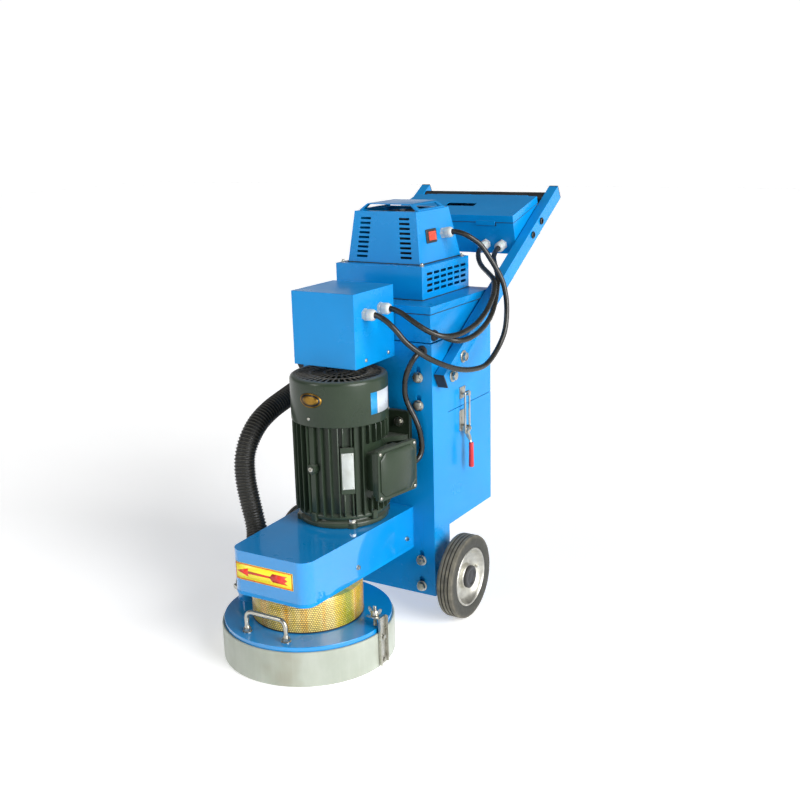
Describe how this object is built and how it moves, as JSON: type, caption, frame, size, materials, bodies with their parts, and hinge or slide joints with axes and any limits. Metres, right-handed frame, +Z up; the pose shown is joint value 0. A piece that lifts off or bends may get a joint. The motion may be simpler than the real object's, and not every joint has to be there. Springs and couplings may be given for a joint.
{
  "type": "concrete floor grinder",
  "caption": "Walk-behind concrete floor grinder with a belt-driven grinding head, an upright motor, two wheels, a folded handle frame and a dust collector.",
  "frame": {"origin": "on the floor, under the middle of the bounding box, on the centre plane between the wheels", "axes": "+Z up; the grinding head points to -Y, the handle to +Y, and +X is the side with the motor terminal box"},
  "size_m": [0.508, 1.1236, 0.9675],
  "materials": {
    "blue_paint": "glossy",
    "motor_paint": "satin",
    "zinc": "satin",
    "steel": "satin",
    "cast_iron": "matte",
    "aluminium": "satin",
    "tyre_rubber": "matte",
    "grip_rubber": "matte",
    "black_plastic": "matte",
    "white_plastic": "satin",
    "red_plastic": "glossy",
    "skirt_plastic": "satin",
    "hose_plastic": "satin",
    "cable_rubber": "matte",
    "filter_media": "matte",
    "drum_tape": "glossy",
    "copper_winding": "satin",
    "belt_rubber": "matte",
    "diamond_bond": "matte"
  },
  "bodies": {
    "frame": {"chassis": "blue_paint", "filter_tank": "blue_paint", "filter_cartridge": "filter_media", "tank_lid": "blue_paint", "vac_base_box": "blue_paint", "vac_cowl": "blue_paint", "rain_cap": "blue_paint", "vac_motor": "black_plastic", "axle": "steel", "handle_frame": "blue_paint", "grip_sleeve": "grip_rubber", "arm_end_plugs": "black_plastic", "frame_bolts": "zinc", "control_box": "blue_paint", "inverter": "black_plastic", "power_box": "blue_paint", "cable_glands": "white_plastic", "cable_vac": "cable_rubber", "cable_control": "cable_rubber", "motor_lead_upper": "cable_rubber", "latch_keepers": "zinc", "frame_screws": "zinc", "suction_elbow": "blue_paint"},
    "head": {"head_bracket": "blue_paint", "belt_housing": "blue_paint", "spindle_housing": "drum_tape", "bearings": "steel", "head_cover": "blue_paint", "dust_skirt": "skirt_plastic", "skirt_clamp": "zinc", "lift_handle": "zinc", "motor_frame": "motor_paint", "motor_stator": "copper_winding", "end_shields": "motor_paint", "fan_cowl": "motor_paint", "terminal_box": "motor_paint", "terminal_lid": "motor_paint", "head_screws": "zinc", "dust_hose": "hose_plastic", "motor_lead_lower": "cable_rubber", "drive_belts": "belt_rubber"},
    "rotor": {"motor_shaft": "steel", "cooling_fan": "black_plastic", "drive_pulley": "cast_iron"},
    "disc": {"spindle": "steel", "driven_pulley": "cast_iron", "grinding_disc": "steel", "grinding_segments": "diamond_bond"},
    "wheel_right": {"tyre_right": "tyre_rubber", "hub_right": "aluminium"},
    "wheel_left": {"tyre_left": "tyre_rubber", "hub_left": "aluminium"},
    "bin": {"dust_bin": "blue_paint"},
    "lever_right": {"lever_right": "red_plastic"},
    "loop_right": {"loop_right": "zinc"},
    "lever_left": {"lever_left": "red_plastic"},
    "loop_left": {"loop_left": "zinc"},
    "box_lid": {"box_lid": "blue_paint"},
    "rocker": {"rocker": "red_plastic"},
    "wing_screw": {"wing_screw": "zinc"}
  },
  "joints": [
    {"name": "head_height", "type": "slide", "parent": "frame", "child": "head", "axis": [0, 0, 1], "range_m": [-0.018, 0], "deforming": ["dust_hose"]},
    {"name": "disc_spin", "type": "hinge", "parent": "head", "child": "disc", "pos_m": [0, -0.3678, 0.1], "axis": [0, 0, 1], "continuous": true},
    {"name": "rotor_spin", "type": "hinge", "parent": "head", "child": "rotor", "pos_m": [0, -0.2108, 0.4], "axis": [0, 0, 1], "continuous": true},
    {"name": "wheel_right_spin", "type": "hinge", "parent": "frame", "child": "wheel_right", "pos_m": [0.23, -0.0578, 0.1], "axis": [1, 0, 0], "continuous": true},
    {"name": "wheel_left_spin", "type": "hinge", "parent": "frame", "child": "wheel_left", "pos_m": [-0.23, -0.0578, 0.1], "axis": [1, 0, 0], "continuous": true},
    {"name": "bin_drop", "type": "slide", "parent": "frame", "child": "bin", "axis": [0, 0, -1], "range_m": [0, 0.0095]},
    {"name": "lever_right_turn", "type": "hinge", "parent": "bin", "child": "lever_right", "pos_m": [0.1885, 0.0512, 0.43], "axis": [0, -1, 0], "range_deg": [0, 90]},
    {"name": "loop_right_turn", "type": "hinge", "parent": "lever_right", "child": "loop_right", "pos_m": [0.1885, 0.0512, 0.42], "axis": [0, -1, 0], "range_deg": [-84.32, 0]},
    {"name": "lever_left_turn", "type": "hinge", "parent": "bin", "child": "lever_left", "pos_m": [-0.1885, 0.0512, 0.43], "axis": [0, 1, 0], "range_deg": [0, 90]},
    {"name": "loop_left_turn", "type": "hinge", "parent": "lever_left", "child": "loop_left", "pos_m": [-0.1885, 0.0512, 0.42], "axis": [0, 1, 0], "range_deg": [-84.32, 0]},
    {"name": "box_lid_hinge", "type": "hinge", "parent": "frame", "child": "box_lid", "pos_m": [0, 0.47466, 0.94162], "axis": [-1, 0, 0], "range_deg": [0, 70]},
    {"name": "rocker_tilt", "type": "hinge", "parent": "frame", "child": "rocker", "pos_m": [0.09137, 0.0602, 0.884], "axis": [-0.124, 0, 0.9923], "range_deg": [0, 16]},
    {"name": "wing_screw_turn", "type": "hinge", "parent": "head", "child": "wing_screw", "pos_m": [0.178, -0.3678, 0.095], "axis": [0, 0, 1], "continuous": true}
  ],
  "couplings": [
    {"joint": "rotor_spin", "follows": "disc_spin", "ratio": 1.5},
    {"joint": "lever_right_turn", "follows": "bin_drop", "rad_per_m": 165.35},
    {"joint": "loop_right_turn", "follows": "bin_drop", "rad_per_m": -154.91},
    {"joint": "lever_left_turn", "follows": "bin_drop", "rad_per_m": 165.35},
    {"joint": "loop_left_turn", "follows": "bin_drop", "rad_per_m": -154.91}
  ]
}
